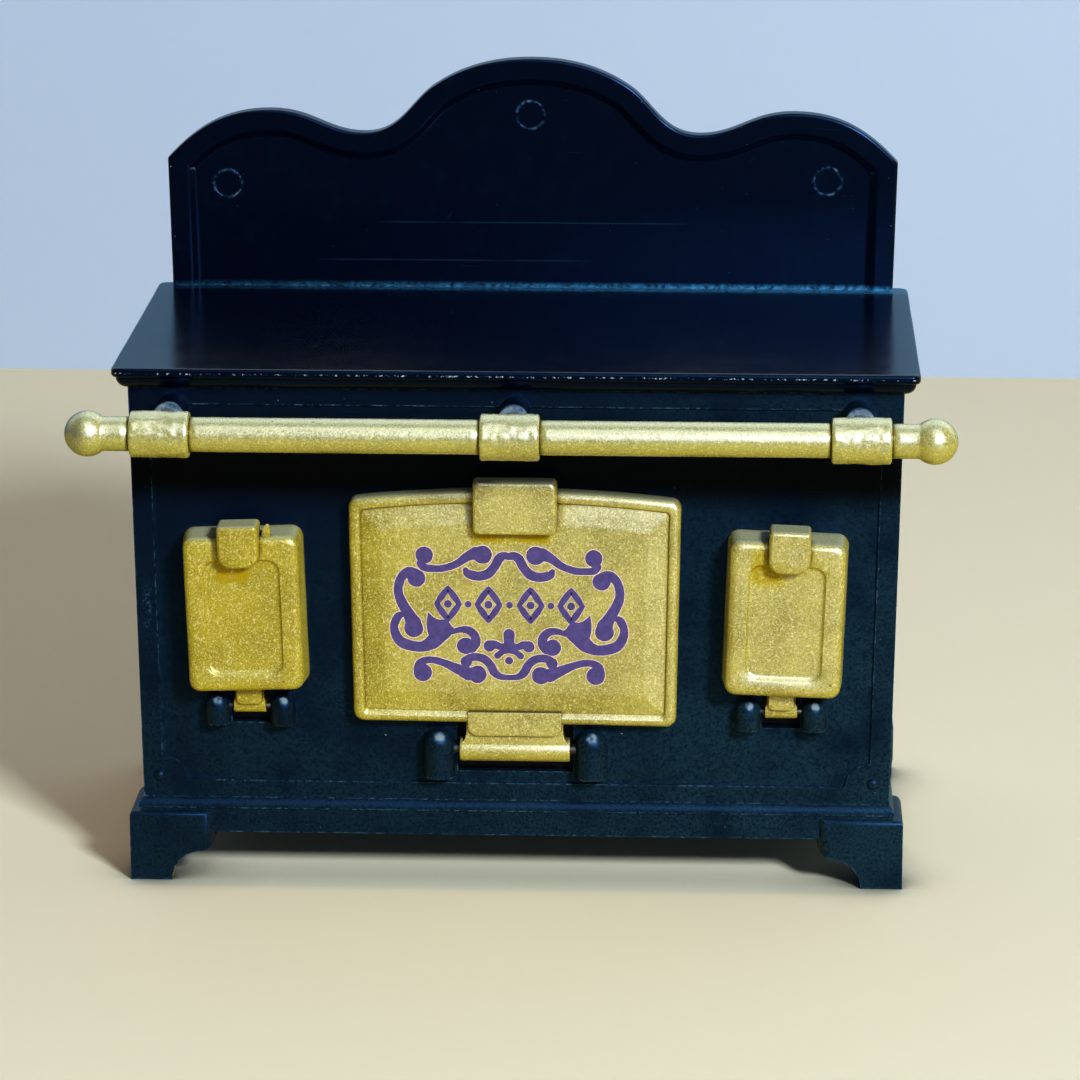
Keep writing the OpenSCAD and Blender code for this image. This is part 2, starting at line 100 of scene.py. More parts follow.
class Shape:
    """Closed forms gathered in millimetres, then made into one object."""

    def __init__(self):
        self.verts = []
        self.faces = []

    def ring(self, points):
        start = len(self.verts)
        self.verts.extend(points)
        return list(range(start, len(self.verts)))

    def bridge(self, a, b, closed=True):
        for i in range(len(a) if closed else len(a) - 1):
            j = (i + 1) % len(a)
            self.faces.append((a[i], a[j], b[j], b[i]))

    def cap(self, loop):
        for tri in tessellate_polygon([[Vector(self.verts[i]) for i in loop]]):
            self.faces.append(tuple(loop[k] for k in tri))

    def loft(self, rings, start=True):
        """A skin over the rings, capped at its end, and at its start unless start is False."""
        rows = [self.ring(r) for r in rings]
        for a, b in zip(rows, rows[1:]):
            self.bridge(a, b)
        if start:
            self.cap(rows[0])
        self.cap(rows[-1])

    def tube(self, rings):
        """A skin over the rings whose last ring joins the first."""
        rows = [self.ring(r) for r in rings]
        for a, b in zip(rows, rows[1:] + rows[:1]):
            self.bridge(a, b)

    def make(self, name, body, material, node=None, sharp=38):
        me = bpy.data.meshes.new(name)
        me.from_pydata([w(*v) for v in self.verts], [], self.faces)
        bm = bmesh.new()
        bm.from_mesh(me)
        bmesh.ops.remove_doubles(bm, verts=bm.verts, dist=MERGE)
        bmesh.ops.dissolve_degenerate(bm, dist=MERGE, edges=bm.edges)
        bmesh.ops.recalc_face_normals(bm, faces=bm.faces)
        bm.to_mesh(me)
        bm.free()
        me.shade_smooth()
        me.set_sharp_from_angle(angle=math.radians(sharp))
        add_piece(name, me, material, body, node)


def quarter(n, first=0):
    """Cosines and sines from 0 to 90 degrees in n steps, starting at step first."""
    angles = [math.radians(i * 90 / n) for i in range(first, n + 1)]
    return [(math.cos(a), math.sin(a)) for a in angles]


def circle(n):
    """Cosines and sines of a full turn in n steps."""
    angles = [math.tau * k / n for k in range(n)]
    return [(math.cos(a), math.sin(a)) for a in angles]


def arc(cx, cz, r, a0, a1, n=6):
    angles = [math.radians(a0 + (a1 - a0) * i / n) for i in range(n + 1)]
    return [(cx + r * math.cos(a), cz + r * math.sin(a)) for a in angles]


def split(points, counts):
    """Closed outline with its long straight sides cut into even pieces."""
    out = []
    for i, p in enumerate(points):
        q = points[(i + 1) % len(points)]
        n = counts.get(i, 1)
        out += [(p[0] + (q[0] - p[0]) * k / n, p[1] + (q[1] - p[1]) * k / n) for k in range(n)]
    return out


def round_rect(cx, cz, width, height, r, across, up):
    """Rounded rectangle with its level sides cut into across pieces and its upright ones into up."""
    a, b = width / 2 - r, height / 2 - r
    corners = (arc(cx - a, cz - b, r, 180, 270) + arc(cx + a, cz - b, r, 270, 360)
               + arc(cx + a, cz + b, r, 0, 90) + arc(cx - a, cz + b, r, 90, 180))
    return split(corners, {6: across, 13: up, 20: across, 27: up})


def flat(points, y):
    return [(x, y, z) for x, z in points]


def wobble(p, size, amount, seed):
    """A small smooth random shift of a point, size in mm per wave."""
    v = noise.noise_vector(Vector(p) / size + Vector((seed, seed * 0.7, -seed)))
    return (p[0] + v.x * amount, p[1] + v.y * amount, p[2] + v.z * amount)


def wavy(rings, size, amount, seed):
    return [[wobble(p, size, amount, seed) for p in ring] for ring in rings]


def offset(points, d):
    """Closed counter-clockwise outline drawn in by d, with mitred corners."""
    out = []
    n = len(points)
    for i in range(n):
        a, b, c = Vector(points[i - 1]), Vector(points[i]), Vector(points[(i + 1) % n])
        e, f = (b - a).normalized(), (c - b).normalized()
        m = Vector((-e.y - f.y, e.x + f.x))
        if m.length < 1e-6:
            m = Vector((-e.y, e.x))
        m.normalize()
        k = max(0.35, m.dot(Vector((-e.y, e.x))))
        out.append(tuple(b + m * (d / k)))
    return out


def curve(points, steps):
    """Smooth curve through points, as a Catmull-Rom spline."""
    out = []
    n = len(points)
    for i in range(n - 1):
        a, b, c, d = (Vector(points[max(i - 1, 0)]), Vector(points[i]), Vector(points[i + 1]),
                      Vector(points[min(i + 2, n - 1)]))
        for k in range(steps):
            t = k / steps
            out.append(0.5 * ((2 * b) + (c - a) * t + (2 * a - 5 * b + 4 * c - d) * t * t
                              + (3 * b - a - 3 * c + d) * t * t * t))
    out.append(Vector(points[-1]))
    return out


def bezier(a, b, c, d, n):
    a, b, c, d = Vector(a), Vector(b), Vector(c), Vector(d)
    return [tuple((1 - t) ** 3 * a + 3 * (1 - t) ** 2 * t * b + 3 * (1 - t) * t * t * c + t ** 3 * d)
            for t in (i / n for i in range(1, n + 1))]


# Materials

class Paint:
    """A Principled material with short helpers for the nodes that drive it."""

    def __init__(self, name, **values):
        self.mat = bpy.data.materials.new(name)
        self.mat.use_nodes = True
        self.tree = self.mat.node_tree
        self.out = self.tree.nodes["Principled BSDF"]
        for key, value in values.items():
            self.out.inputs[key].default_value = value
        coords = self.add("ShaderNodeTexCoord")
        self.pos = coords.outputs["Object"]
        self.normal = coords.outputs["Normal"]
        self.bumped = None

    def add(self, kind, **props):
        n = self.tree.nodes.new(kind)
        for key, value in props.items():
            setattr(n, key, value)
        return n

    def feed(self, socket, value):
        if isinstance(value, bpy.types.NodeSocket):
            self.tree.links.new(value, socket)
        else:
            socket.default_value = value

    def set(self, socket, value):
        self.feed(self.out.inputs[socket], value)

    def parts(self, vector):
        """The x, y and z of a vector."""
        n = self.add("ShaderNodeSeparateXYZ")
        self.feed(n.inputs[0], vector)
        return list(n.outputs)

    def math(self, op, a, b, clamp=False):
        n = self.add("ShaderNodeMath", operation=op, use_clamp=clamp)
        self.feed(n.inputs[0], a)
        self.feed(n.inputs[1], b)
        return n.outputs[0]

    def all(self, first, *others):
        for other in others:
            first = self.math("MULTIPLY", first, other)
        return first

    def any(self, first, *others):
        for other in others:
            first = self.math("MAXIMUM", first, other)
        return first

    def total(self, first, *others):
        for other in others:
            first = self.math("ADD", first, other)
        return first

    def mapped(self, stretch, rotate=(0, 0, 0), move=(0, 0, 0)):
        """Coordinates turned by rotate, along whose axes the texture is then stretched."""
        n = self.add("ShaderNodeMapping", vector_type="TEXTURE")
        n.inputs["Scale"].default_value = stretch
        n.inputs["Rotation"].default_value = rotate
        n.inputs["Location"].default_value = move
        self.feed(n.inputs["Vector"], self.pos)
        return n.outputs[0]

    def noise(self, size, detail, vector=None, rough=0.5):
        """Noise whose features are about size mm across."""
        n = self.add("ShaderNodeTexNoise")
        self.feed(n.inputs["Vector"], vector or self.pos)
        n.inputs["Scale"].default_value = 1000 / size
        n.inputs["Detail"].default_value = detail
        n.inputs["Roughness"].default_value = rough
        return n.outputs["Fac"]

    def cells(self, size):
        """Distance from the middle of the nearest cell, and that cell's random tone."""
        n = self.add("ShaderNodeTexVoronoi")
        self.feed(n.inputs["Vector"], self.pos)
        n.inputs["Scale"].default_value = 1000 / size
        return n.outputs["Distance"], n.outputs["Color"]

    def rise(self, value, low, high):
        """0 up to low and 1 from high, smooth between, or falling where high is the lower."""
        n = self.add("ShaderNodeMapRange", interpolation_type="SMOOTHSTEP")
        self.feed(n.inputs["Value"], value)
        n.inputs["From Min"].default_value = low
        n.inputs["From Max"].default_value = high
        return n.outputs["Result"]

    def ramp(self, value, low, high):
        """A rise between two places in mm."""
        return self.rise(value, low * MM, high * MM)

    def band(self, value, low, high, soft):
        """1 between two places in mm, falling to 0 over soft on either side."""
        return self.all(self.ramp(value, low - soft, low), self.ramp(value, high + soft, high))

    def mix(self, fac, a, b):
        n = self.add("ShaderNodeMix", data_type="RGBA")
        self.feed(n.inputs[0], fac)
        for socket, value in ((n.inputs[6], a), (n.inputs[7], b)):
            self.feed(socket, value if isinstance(value, bpy.types.NodeSocket) else (*value, 1))
        return n.outputs[2]

    def crevice(self, size, inside=False, shut=0.35):
        """1 in inner corners and grooves (inside: on outer edges), 0 in the open, size in mm."""
        n = self.add("ShaderNodeAmbientOcclusion", samples=6, inside=inside)
        n.inputs["Distance"].default_value = size * MM
        return self.rise(n.outputs["AO"], 0.92, shut)

    def bump(self, height, strength, distance):
        n = self.add("ShaderNodeBump")
        n.inputs["Strength"].default_value = strength
        n.inputs["Distance"].default_value = distance * MM
        self.feed(n.inputs["Height"], height)
        if self.bumped:
            self.feed(n.inputs["Normal"], self.bumped)
        self.bumped = n.outputs[0]
        self.set("Normal", self.bumped)


def black_plastic():
    deep, sheen_blue, shadow_black = (0.0004, 0.0009, 0.0044), (0.0055, 0.0205, 0.0350), (0.0004, 0.0005, 0.0004)
    blue_gloss, shadow_gloss = (0.055, 0.19, 0.58), (0.05, 0.07, 0.10)
    joint_dust, faint_mark_and_highlight, pale_mark_and_highlight = (0.030, 0.20, 0.44), (0.04, 0.17, 0.40), (0.38, 0.48, 0.56)
    p = Paint("black_plastic", IOR=1.5)
    x, y, z = p.parts(p.pos)
    nx, ny, nz = p.parts(p.normal)
    cloud = p.noise(6, 3)
    on_front = p.ramp(y, FRONT + 2, FRONT + 1)
    polished = p.ramp(z, 49.0, 50.5)
    # A painted sheen, pale blue-grey, on the lower and right parts where the light falls, but not on the
    # polished ones
    where = p.total(p.all(p.ramp(z, 44, 12), 0.5), p.all(p.ramp(x, -20, 38), 0.45))
    grain = p.rise(p.noise(0.28, 3, rough=0.75), 0.28, 0.66)
    painted_sheen = p.all(where, p.rise(cloud, 0.15, 0.6), p.rise(polished, 1.15, 0.0), grain)
    color = p.mix(painted_sheen, deep, sheen_blue)
    # A painted shadow of the rail: a deep black band across the front, under the rail, with darker
    # reflections there
    rail_shadow = p.all(p.band(z, 41.0, 44.5, 3.5), on_front)
    color = p.mix(rail_shadow, color, shadow_black)
    p.set("Specular Tint", p.mix(rail_shadow, blue_gloss, shadow_gloss))
    # Pale specks of three sizes: cell size, share left out, radius in cells, level
    marks_and_highlight = []
    for size, share, radius, level in ((3.1, 0.72, 0.017, 0.55), (0.9, 0.72, 0.05, 0.09),
                                       (1.9, 0.7, 0.03, 0.26)):
        dist, tone = p.cells(size)
        dot = p.rise(dist, radius * 1.6, radius)
        marks_and_highlight.append(p.all(dot, p.math("GREATER_THAN", tone, share), level))
    # Faint scratches, long and thin, some level and some slanting
    level = p.rise(p.noise(1, 2, p.mapped((11, 2.5, 0.12), (0.0, 0.03, 0.0))), 0.75, 0.78)
    slant = p.rise(p.noise(1, 2, p.mapped((0.2, 2.5, 6), (0.0, 0.7, 0.0), (3, 1, 2))), 0.76, 0.79)
    marks_and_highlight.append(p.all(p.any(level, slant), 0.05))
    # Faintly pale inner corners, and pale broken lines along outer edges
    marks_and_highlight.append(p.all(p.crevice(0.6), p.rise(p.noise(1.3, 3), 0.35, 0.65), 0.06))
    edge = p.rise(p.noise(0.45, 2), 0.40, 0.66)
    marks_and_highlight.append(p.all(p.crevice(0.22, True), edge, p.rise(cloud, 0.2, 0.55), 0.36))
    # A pale line along the foot of the backsplash, stronger to the right
    back = BODY_BACK + FRONT
    joint = p.all(p.band(y, back - 1.0, back + 1, 1.4), p.band(z, SHELF_Z - 0.2, SHELF_Z + 0.05, 0.6),
                  p.ramp(y, back + 1.1, back + 0.7), p.rise(p.noise(0.5, 4, rough=0.7), 0.30, 0.70),
                  p.rise(cloud, 0.1, 0.6), p.ramp(x, -60, 50))
    color = p.mix(joint, color, joint_dust)
    # A thin broken line along the shelf's lip
    marks_and_highlight.append(p.all(p.band(z, SHELF_Z - 0.53, SHELF_Z - 0.44, 0.05), p.ramp(y, FRONT - 1.2, FRONT - 1.45),
                       p.rise(p.noise(0.3, 3, rough=0.7), 0.54, 0.64), p.rise(cloud, 0.20, 0.50), 0.8))
    # Pale front ends of the bosses, and a painted highlight: a pale spot on each hinge post's dome where it
    # faces the light
    marks_and_highlight.append(p.all(p.ramp(y, FRONT - 3.1, FRONT - 3.9), p.noise(0.6, 3), 0.7))
    lit_facing = p.total(p.all(nz, 0.62), p.all(ny, -0.78), p.all(nx, 0.08), p.all(p.noise(0.5, 3), 0.12))
    marks_and_highlight.append(p.all(p.rise(lit_facing, 0.96, 1.05), p.ramp(y, FRONT - 0.4, FRONT - 0.7),
                       p.band(z, 12.5, 20, 0.4), p.rise(p.noise(0.9, 2), 0.15, 0.5), 0.45))
    # A very faint veil all over
    marks_and_highlight.append(p.all(p.rise(p.noise(2.2, 4), 0.5, 0.8), 0.005))
    # Two long faint scratches across the backsplash, and a patch on the left of the body's front
    for low_x, high_x, line_z in ((-13.0, 13.0, 58.9), (-19.0, 3.0, 54.9)):
        marks_and_highlight.append(p.all(p.band(z, line_z - 0.02, line_z + 0.02, 0.09), p.band(x, low_x, high_x, 4),
                           p.ramp(y, 20, 22), p.rise(p.noise(5, 2), 0.25, 0.55), 0.06))
    marks_and_highlight.append(p.all(p.band(z, 26.5, 29.0, 2.0), p.band(x, -36.2, -36.0, 0.5), on_front,
                       p.rise(p.noise(0.14, 2), 0.42, 0.75), p.rise(p.noise(1.6, 2), 0.30, 0.65), 0.32))
    marks_and_highlight = p.any(*marks_and_highlight)
    p.set("Base Color", p.mix(marks_and_highlight, color, p.mix(p.rise(marks_and_highlight, 0.1, 0.6), faint_mark_and_highlight, pale_mark_and_highlight)))
    # The body is duller than the polished shelf and backsplash, and marks are duller still
    dull = p.all(p.math("SUBTRACT", 1.0, polished), 0.20)
    rough = p.total(p.all(p.noise(3.5, 4), 0.10), dull, 0.14)
    p.set("Roughness", p.math("ADD", rough, p.all(p.any(marks_and_highlight, joint), 0.6), True))
    p.bump(p.noise(2.6, 2), 0.08, 0.05)
    p.bump(p.noise(0.5, 3), 0.12, 0.01)
    return p.mat


def gold_paint():
    dark_gold, bright_gold, rail_gold = (0.12, 0.090, 0.001), (0.38, 0.335, 0.014), (0.27, 0.29, 0.06)
    flake_gold, shade_ochre, top_reflection_grey = (0.72, 0.68, 0.26), (0.27, 0.20, 0.002), (0.36, 0.42, 0.30)
    pit_and_shade_brown, bare_grey = (0.04, 0.022, 0.0003), (0.06, 0.07, 0.07)
    dull_shine, white_shine, painted_shade_shine = (0.62, 0.62, 0.42), (1.0, 1.0, 1.0), (0.42, 0.36, 0.16)
    deep_shade_shine, pit_and_shade_shine = (0.06, 0.035, 0.002), (0.16, 0.10, 0.008)
    p = Paint("gold_paint", Metallic=0.12, IOR=3.6)
    x, y, z = p.parts(p.pos)
    nz = p.parts(p.normal)[2]
    # Grain of the metal powder, clotted at two sizes
    grain = p.rise(p.noise(0.15, 3, rough=0.75), 0.34, 0.66)
    patch = p.rise(p.noise(4.5, 3), 0.30, 0.70)
    tone = p.total(p.all(grain, 0.58), p.all(patch, 0.42))
    base = p.mix(tone, dark_gold, bright_gold)
    shine = p.mix(tone, dull_shine, white_shine)
    # Painted shade: the gold turns to a duller ochre towards the left, away from the light, and most in three
    # painted shadows: below the oven door's pull, and below and left of each side door's pull
    painted_shade = p.all(p.ramp(x, 5, -24), 0.6)
    for low_x, high_x, low_z, high_z, soft, out in ((-4.0, 3.2, 35.5, 36.8, 0.6, 2.2),
                                                    (-28.5, -26.4, 31.9, 34.5, 1.7, 3.8),
                                                    (23.9, 25.4, 32.5, 34.5, 1.7, 3.8)):
        pull_shadow = p.all(p.band(x, low_x, high_x, soft), p.band(z, low_z, high_z, soft),
                     p.ramp(y, FRONT - out, FRONT - out + 0.3), p.rise(p.noise(0.9, 3), 0.1, 0.5), 1.15)
        painted_shade = p.any(painted_shade, pull_shadow)
    # The rail stays clear of that, and is paler and shinier
    high = p.ramp(z, 44.0, 44.8)
    painted_shade = p.all(painted_shade, p.math("SUBTRACT", 1.0, high))
    shine = p.mix(p.all(high, 0.8), shine, white_shine)
    base = p.mix(p.all(high, 0.5), base, rail_gold)
    shine = p.mix(p.rise(painted_shade, 0.0, 0.7), shine, painted_shade_shine)
    shine = p.mix(p.rise(painted_shade, 0.6, 1.0), shine, deep_shade_shine)
    # Flakes: short pale strokes in three directions
    for turn, shift in ((0.5, 0.0), (-0.6, 0.3), (1.5, 0.6)):
        flake = p.noise(0.13, 1, p.mapped((2.8, 1.0, 1.0), (0.2, turn, 0.1), (shift, shift, 0)))
        flake = p.all(p.rise(flake, 0.62, 0.68), 0.42)
        base = p.mix(flake, base, flake_gold)
        shine = p.mix(flake, shine, white_shine)
    base = p.mix(p.rise(painted_shade, 0.5, 1.0), base, shade_ochre)
    # Painted reflection: level tops are greyer, as if mirroring the pale backdrop above
    base = p.mix(p.all(p.rise(nz, 0.55, 0.95), 0.7), base, top_reflection_grey)
    # A few dark pits, and painted shade: dark inner corners and grooves, and a wider shade round raised parts
    pit, pit_tone = p.cells(1.3)
    pits = p.all(p.rise(pit, 0.12, 0.06), p.math("GREATER_THAN", pit_tone, 0.86), 0.7)
    near = p.crevice(2.4)
    pits_and_shade = p.any(pits, p.rise(near, 0.35, 0.95), p.all(p.crevice(0.45, shut=0.5), 0.85))
    shine = p.mix(p.any(pits_and_shade, p.rise(near, 0.0, 0.6)), shine, pit_and_shade_shine)
    base = p.mix(pits_and_shade, base, pit_and_shade_brown)
    # Grey stems, and a grey patch on the left ball
    stem = p.all(p.ramp(y, FRONT - 6.6, FRONT - 5.6), p.ramp(z, 45.5, 46))
    ball = p.all(p.ramp(x, -39.8, -41.2), p.rise(p.noise(1.5, 3), 0.3, 0.6), 0.75)
    p.set("Base Color", p.mix(p.any(stem, ball), base, bare_grey))
    p.set("Specular Tint", shine)
    # Smoother and rougher spots, and a smoother rail
    rough = p.total(p.all(p.rise(p.noise(0.18, 2), 0.35, 0.65), 0.20), 0.27)
    p.set("Roughness", p.math("SUBTRACT", rough, p.all(high, 0.06)))
    p.bump(p.noise(0.7, 3, rough=0.6), 0.45, 0.03)
    p.bump(p.noise(0.2, 2, rough=0.6), 0.4, 0.015)
    return p.mat


def ink(name, color, other):
    p = Paint(name, Roughness=0.5, IOR=1.4)
    p.set("Base Color", p.mix(p.rise(p.noise(0.5, 3), 0.35, 0.7), color, other))
    p.bump(p.noise(0.3, 2), 0.25, 0.01)
    return p.mat


def plain_black():
    p = Paint("liner_plastic", IOR=1.25)
    p.set("Base Color", p.mix(p.noise(1.2, 4), (0.003, 0.0035, 0.005), (0.006, 0.007, 0.010)))
    p.set("Roughness", p.total(p.all(p.noise(0.5, 3), 0.2), 0.45))
    p.bump(p.noise(0.35, 3), 0.3, 0.02)
    return p.mat


def steel():
    p = Paint("steel", Metallic=1.0)
    drawn = p.noise(1, 2, p.mapped((20, 0.6, 0.6)))
    p.set("Base Color", p.mix(drawn, (0.03, 0.03, 0.03), (0.07, 0.07, 0.075)))
    p.set("Roughness", p.total(p.all(drawn, 0.25), 0.35))
    p.bump(drawn, 0.2, 0.01)
    return p.mat


BLACK = black_plastic()
GOLD = gold_paint()
LINER = plain_black()
STEEL = steel()
INDIGO = ink("indigo_print", (0.030, 0.021, 0.145), (0.046, 0.034, 0.190))
UNDER = ink("print_edge", (0.62, 0.50, 0.46), (0.50, 0.37, 0.38))


# CAD nodes that keep their shape, with softened edges

def softened(node, material, width):
    """A copy of a CAD node with its flat faces joined and its edges rounded."""
    name = node + "_piece"
    bm = bmesh.new()
    bm.from_mesh(NODES[node].data)
    bmesh.ops.remove_doubles(bm, verts=bm.verts, dist=CAD_MERGE)
    bmesh.ops.dissolve_limit(bm, angle_limit=CAD_FLAT, verts=bm.verts, edges=bm.edges)
    me = bpy.data.meshes.new(name)
    bm.to_mesh(me)
    bm.free()
    me.shade_smooth()
    add_piece(name, me, material, BODY_OF[node], node, bevel=width)


for nodes, material, width in ((("body_shell", "base_plinth"), BLACK, 0.12),
                               (("oven_liner", "left_liner", "right_liner"), LINER, 0.08),
                               (("base_screws", "oven_hinge_pin", "left_hinge_pin", "right_hinge_pin"),
                                STEEL, 0.05)):
    for node in nodes:
        softened(node, material, width)


# Top shelf: a lid with a rounded edge over a quarter-round moulding

LID_LOW = (-SHELF_HALF, SHELF_FRONT, SHELF_UNDER)
LID_HIGH = (SHELF_HALF, SHELF_BACK, SHELF_Z)


def plan(inset, z):
    """Outline of the shelf in plan, drawn in by inset from its outermost edge."""
    x, y0, y1 = SHELF_HALF - inset, SHELF_FRONT + inset, SHELF_BACK - inset
    r = max(0.9 - inset * 0.5, 0.2)
    pts = []
    for cx, cy, a in ((-x + r, y0 + r, 180), (x - r, y0 + r, 270), (x - r, y1 - r, 0), (-x + r, y1 - r, 90)):
        pts += arc(cx, cy, r, a, a + 90, 8)
    return [(px, py, z) for px, py in split(pts, {8: 60, 17: 30, 26: 60, 35: 30})]


def shelf():
    s = Shape()
    lip, cove_in, cove, edge = SHELF_Z - 1.0, 1.5, 1.1, 0.34
    steps = [(3.3, SHELF_UNDER), (1.62, SHELF_UNDER), (cove_in, SHELF_UNDER + 0.02)]
    steps += [(cove_in - cove * sin, lip - cove * cos) for cos, sin in quarter(8, 1)]
    steps += [(edge * (1 - sin), lip + 0.02 + edge * (1 - cos)) for cos, sin in quarter(4)]
    steps += [(edge * (1 - cos), SHELF_Z - edge * (1 - sin)) for cos, sin in quarter(5)]
    rings = [[tuple(min(max(v, lo), hi) for v, lo, hi in zip(p, LID_LOW, LID_HIGH)) for p in ring]
             for ring in wavy([plan(*step) for step in steps], 6, 0.03, 2.0)]
    s.loft(rings + [plan(0.7, SHELF_Z)])
    s.make("shelf_lid", "case", BLACK, "top_shelf")


# Backsplash: crest outline, raised rim and recessed panel

# Right half of the crest from its peak, as curves: two handles, the end, and the steps
CREST = (((4.4, 0), (7.6, -1.15), (10.2, -2.95), 16), ((12.6, -4.65), (13.6, -7.8), (17.3, -7.8), 14),
         ((21.2, -7.8), (22.6, -5.47), (27, -5.47), 14), ((32, -5.47), (34.9, -7.55), (37.75, -10.6), 16))
# Round ejector marks, thin raised rings: their places, and their section as radius and y
MARKS = ((-0.15, 70.2), (30.55, 63.5), (-31.6, 62.85))
MARK_SECTION = ((1.5, 0.2), (1.5, -0.02), (1.47, -0.04), (1.42, -0.04), (1.38, -0.01), (1.38, 0.2))


def crest():
    """Backsplash outline, counter-clockwise from its lower right corner."""
    right = [(0, 0)]
    for handle_a, handle_b, end, steps in CREST:
        right += bezier(right[-1], handle_a, handle_b, end, steps)
    right += [(37.45 + 0.3 * k / 10, -10.6 - 13.4 * (1 - k / 10)) for k in range(9, -1, -1)]
    right = [(x, CREST_Z + z) for x, z in right]
    return right[::-1] + [(-x, z) for x, z in right[1:]]


def backsplash():
    s = Shape()
    outline = crest()
    foot = SHELF_Z - 0.15
    back, front, panel = SHELF_BACK, BODY_BACK - 0.4, BODY_BACK + 0.1
    edge, rim = 0.28, 2.3

    def section(inset, y):
        pts = offset(outline, inset)
        ends = (0, len(pts) - 1)
        return [(x, y, foot if i in ends else max(z, foot)) for i, (x, z) in enumerate(pts)]

    steps = [(0.18, back), (0.05, back - 0.05), (0, back - 0.18), (0, front + edge)]
    steps += [(edge * (1 - cos), front + edge * (1 - sin)) for cos, sin in quarter(5, 1)]
    steps += [(0.35, front), (rim - 0.4, front), (rim - 0.22, front + 0.01), (rim - 0.08, front + 0.06),
              (rim + 0.02, front + 0.14), (rim + 0.26, panel - 0.13), (rim + 0.38, panel - 0.04),
              (rim + 0.55, panel), (rim + 0.75, panel)]
    s.loft([section(*step) for step in steps])
    for x, z in MARKS:
        s.tube([[(x + r * cos, panel + dy, z + r * sin) for cos, sin in circle(48)]
                for r, dy in MARK_SECTION])
    s.make("crested_backsplash", "case", BLACK, "backsplash")


shelf()
backsplash()


# Guard rail: one turned form with three rough collars and a ball at each end

def rail_profile():
    """Places along the rail, with its radius at each."""
    ball_x, ball_r, rod, collar, half, pitch = 40.1, 2.2, 1.65, 2.2, 2.825, 0.7
    angles = [math.radians(a) for a in (2, 8, 15, 23, 31, 40, 49, 58, 68, 78, 88, 98, 108, 118, 126)]
    pts = [(-ball_x - (ball_r - 0.005) * math.cos(a), ball_r * math.sin(a)) for a in angles]
    neck = -ball_x + math.sqrt(ball_r ** 2 - rod ** 2)
    pts += [(neck - 0.05, rod + 0.03), (neck + 0.1, rod)]
    right = [(-x, r) for x, r in pts][::-1]
    x = neck + 0.1
    for c in COLLARS:
        stop = c - half - 0.1
        count = max(2, int((stop - x) / pitch))
        pts += [(x + (stop - x) * k / count, rod) for k in range(1, count + 1)]
        pts += [(c - half - 0.04, rod - 0.06), (c - half, rod), (c - half, collar - 0.22),
                (c - half + 0.06, collar - 0.08), (c - half + 0.2, collar)]
        pts += [(c - half + 0.2 + (2 * half - 0.4) * k / 24, collar) for k in range(1, 25)]
        pts += [(c + half - 0.06, collar - 0.08), (c + half, collar - 0.22), (c + half, rod),
                (c + half + 0.04, rod - 0.06), (c + half + 0.1, rod)]
        x = c + half + 0.1
    count = int((right[0][0] - x) / pitch)
    pts += [(x + (right[0][0] - x) * k / count, rod) for k in range(1, count)]
    return pts + right


def guard_rail():
    s = Shape()
    rings = []
    for x, r in rail_profile():
        on_collar = min(abs(abs(x) - COLLARS[2]), abs(x)) < 2.7 and r > 2.1
        coarse, fine = (0.06, 0.045) if on_collar else (0.015, 0.012)
        ring = []
        for cos, sin in circle(80):
            p = Vector((x, r * cos, r * sin))
            lump = noise.noise(p / 0.85) * coarse + noise.noise(p / 0.38 + Vector((7, 1, 3))) * fine
            if abs(x) > 37:
                lump = min(lump, 0.0)
            grown = (r + lump) / r
            ring.append((x, max(-RAIL_OUT + p.y * grown, RAIL_FRONT), RAIL_Z + p.z * grown))
        rings.append(ring)
    s.loft(rings)
    stem = ((-RAIL_OUT + 1.2, 1.0), (-7, 1.0), (-5.2, 1.0), (-4.4, 1.0), (-3.9, 0.99), (-0.4, 0.99))
    for x in COLLARS:
        s.loft([[(x + r * cos, y, RAIL_Z + r * sin) for cos, sin in circle(40)] for y, r in stem])
    s.make("gold_guard_rail", "case", GOLD, "guard_rail", sharp=50)


guard_rail()


# Oven door

def oven_outline(inset, r, low):
    """The door's outline, drawn in by inset, with its foot lowered by low."""
    foot, top = 15.8 - inset - r, 16.15 - inset - r
    z0, z1 = 16.78 + inset + r - low, 39.45 - inset - r
    pts = arc(-foot, z0, r, 180, 270, 5) + arc(foot, z0, r, 270, 360, 5) + arc(top, z1, r, 0, 80, 5)
    pts += [(top * i / 16, z1 + r + 0.85 * (1 - i * i / 256)) for i in range(15, -16, -1)]
    pts += arc(-top, z1, r, 100, 180, 5)
    # The lower edge drops slightly to the right
    pts = [(x, z - 0.011 * x * max(0.0, (39 - z) / 22)) for x, z in pts]
    return split(pts, {5: 40, 11: 28, 54: 28})


